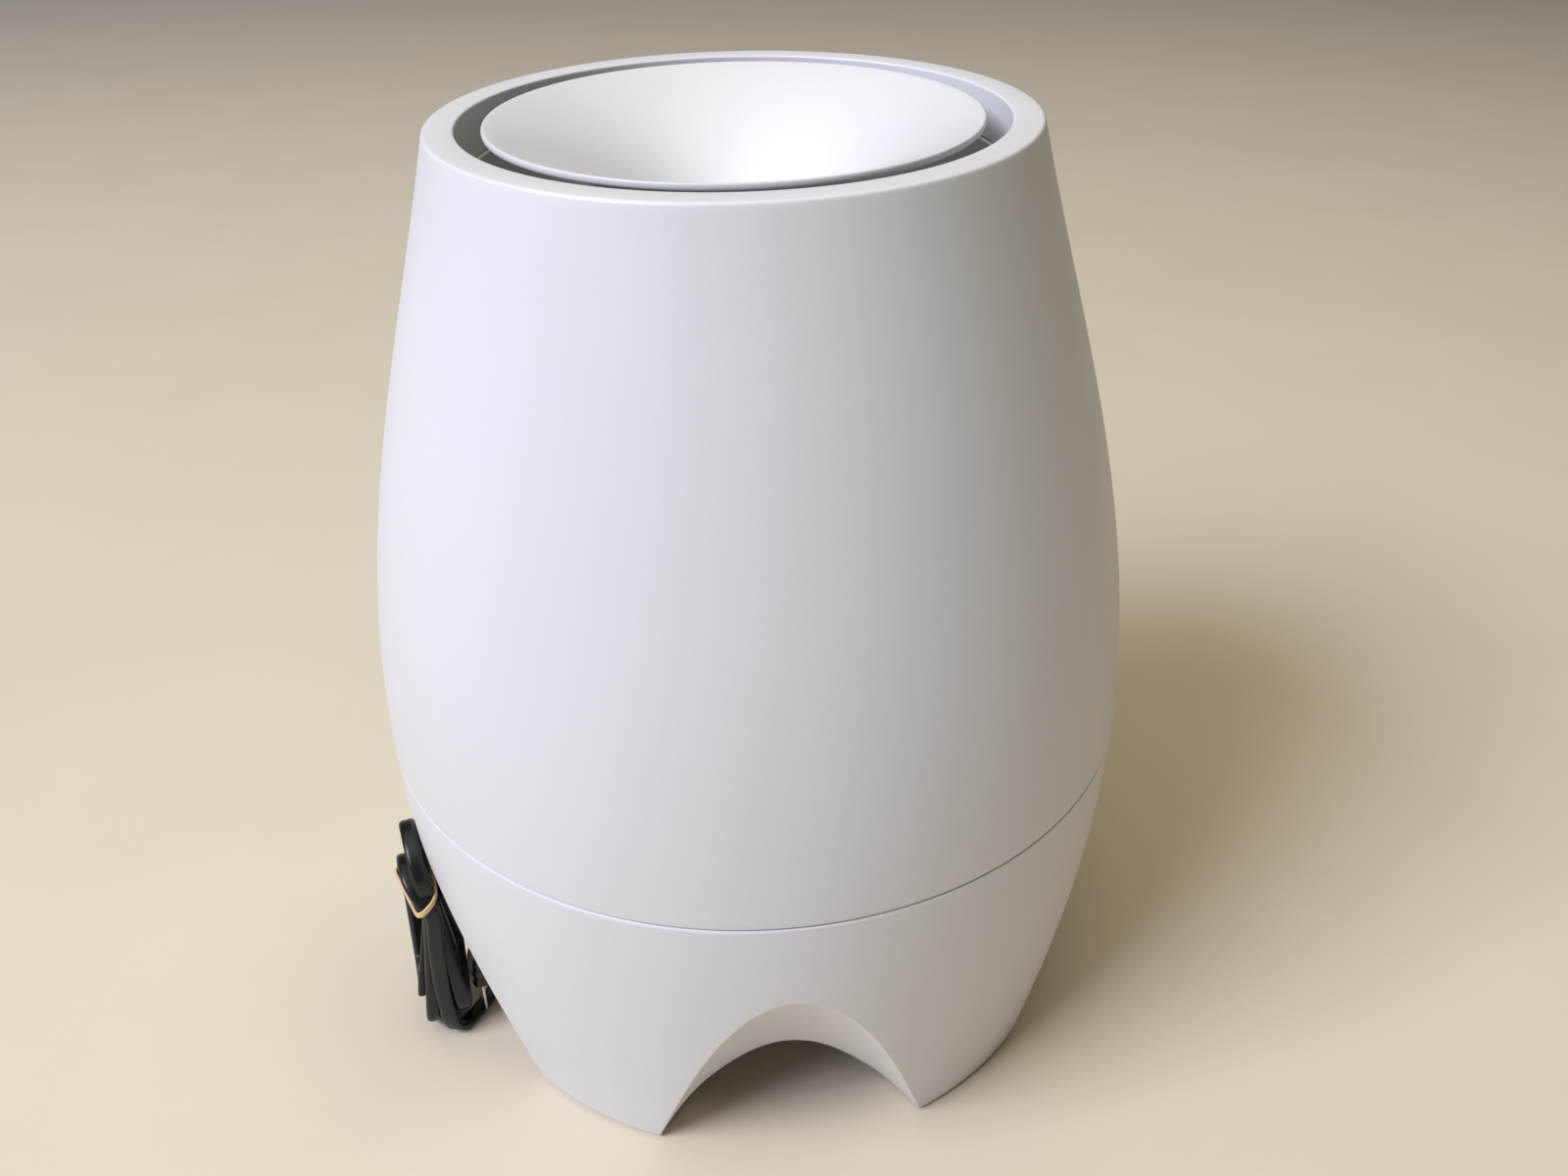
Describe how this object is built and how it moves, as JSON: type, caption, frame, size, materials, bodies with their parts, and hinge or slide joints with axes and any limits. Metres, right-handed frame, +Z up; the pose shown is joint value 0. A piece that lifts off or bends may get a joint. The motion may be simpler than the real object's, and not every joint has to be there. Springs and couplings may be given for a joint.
{
  "type": "essential oil diffuser",
  "caption": "Fan-driven essential oil diffuser: white barrel on a legged base with arched air intakes and a lift-out trumpet dish; folded mains cord.",
  "frame": {"origin": "on the floor, on the barrel's axis, at the underside of the foot pads", "axes": "+Z up along the barrel's axis; -Y towards the front arch; the speed dial faces +Y and the cord leaves on the -X side"},
  "size_m": [0.2953, 0.2832, 0.35],
  "materials": {
    "body_plastic": "satin moulded white with a very fine grain",
    "inner_plastic": "plain moulded off-white",
    "grey_plastic": "moulded grey",
    "black_lead": "soft black cable sheath",
    "black_plastic": "moulded black",
    "rubber": "matt",
    "steel": "satin",
    "plated_blade": "bright",
    "brass": "satin",
    "felt": "pressed felt",
    "filter_foam": "open-cell foam",
    "board_laminate": "green lacquered laminate",
    "copper_winding": "lacquered winding",
    "tan_rubber": "thin natural rubber"
  },
  "bodies": {
    "base": {"base_shell": "body_plastic", "base_deck": "inner_plastic", "intake_pan": "inner_plastic", "intake_grille": "inner_plastic", "fan_shroud": "inner_plastic", "terminal_block": "grey_plastic", "speed_control": "grey_plastic", "dial_scale": "grey_plastic", "cord_lead": "black_lead", "cord_hank": "black_lead", "cord_tail": "black_lead", "mains_lead": "black_lead", "motor_lead": "black_lead", "cord_gland": "black_plastic", "plug_body": "black_plastic", "smoothing_capacitor": "black_plastic", "duct_seal": "rubber", "foot_pad_1": "rubber", "foot_pad_2": "rubber", "foot_pad_3": "rubber", "foot_pad_4": "rubber", "foot_pad_5": "rubber", "motor_housing": "steel", "control_nut": "steel", "grille_screw_1": "steel", "grille_screw_2": "steel", "grille_screw_3": "steel", "board_screw_1": "steel", "board_screw_2": "steel", "board_screw_3": "steel", "board_screw_4": "steel", "plug_blade_1": "plated_blade", "plug_blade_2": "plated_blade", "shaft_bearing": "brass", "dust_filter": "filter_foam", "control_board": "board_laminate", "transformer": "copper_winding", "hank_band": "tan_rubber"},
    "fan": {"impeller": "grey_plastic", "motor_shaft": "steel", "impeller_nut": "brass"},
    "dial": {"speed_dial": "body_plastic", "dial_shaft": "steel"},
    "barrel": {"body_shell": "body_plastic", "outlet_collar": "inner_plastic", "inner_duct": "inner_plastic", "barrel_floor": "inner_plastic", "pad_spider": "inner_plastic", "duct_screw_1": "steel", "duct_screw_2": "steel", "duct_screw_3": "steel"},
    "dish": {"scent_dish": "body_plastic", "drip_stem": "inner_plastic", "stem_seal": "rubber", "pad_tray": "inner_plastic", "oil_pad": "felt"}
  },
  "joints": [
    {"name": "fan_spin", "type": "hinge", "parent": "base", "child": "fan", "pos_m": [0, 0, 0.09], "axis": [0, 0, 1], "continuous": true},
    {"name": "dial_turn", "type": "hinge", "parent": "base", "child": "dial", "pos_m": [0, 0.134, 0.095], "axis": [0, 1, 0], "range_deg": [0, 270]},
    {"name": "barrel_lift", "type": "slide", "parent": "base", "child": "barrel", "axis": [0, 0, 1], "range_m": [0, 0.18]},
    {"name": "dish_lift", "type": "slide", "parent": "barrel", "child": "dish", "axis": [0, 0, 1], "range_m": [0, 0.12]}
  ]
}
